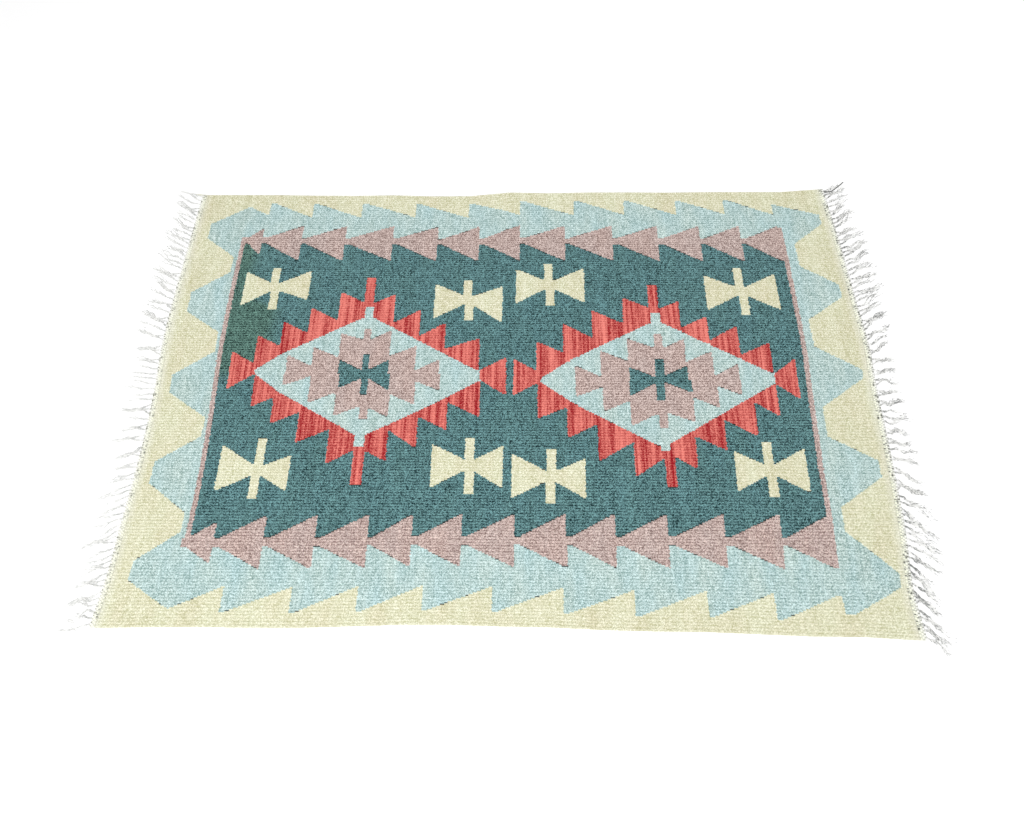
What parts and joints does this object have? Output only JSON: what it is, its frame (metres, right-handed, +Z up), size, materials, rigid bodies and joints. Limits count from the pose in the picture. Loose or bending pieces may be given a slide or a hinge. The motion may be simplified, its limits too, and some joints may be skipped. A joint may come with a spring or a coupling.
{
  "type": "kilim rug",
  "caption": "Flat-woven wool kilim rug lying flat, with toothed diamond medallions, bow-tie motifs, saw-tooth borders and white knotted cotton fringe at both ends.",
  "frame": {"origin": "middle of the woven panel's underside, on the floor", "axes": "+X along the warps from one fringed end to the other, +Y across the warps from the front long edge to the back one, +Z up from the floor"},
  "size_m": [1.3334, 0.8341, 0.0038],
  "materials": {
    "wool_weave": "matt weft-faced wool weave in sand, pale blue, teal, red and mauve",
    "cotton_fringe": "matt white twisted cotton"
  },
  "bodies": {
    "root": {"woven_panel": "wool_weave", "fringe_left": "cotton_fringe", "fringe_right": "cotton_fringe"}
  },
  "joints": []
}
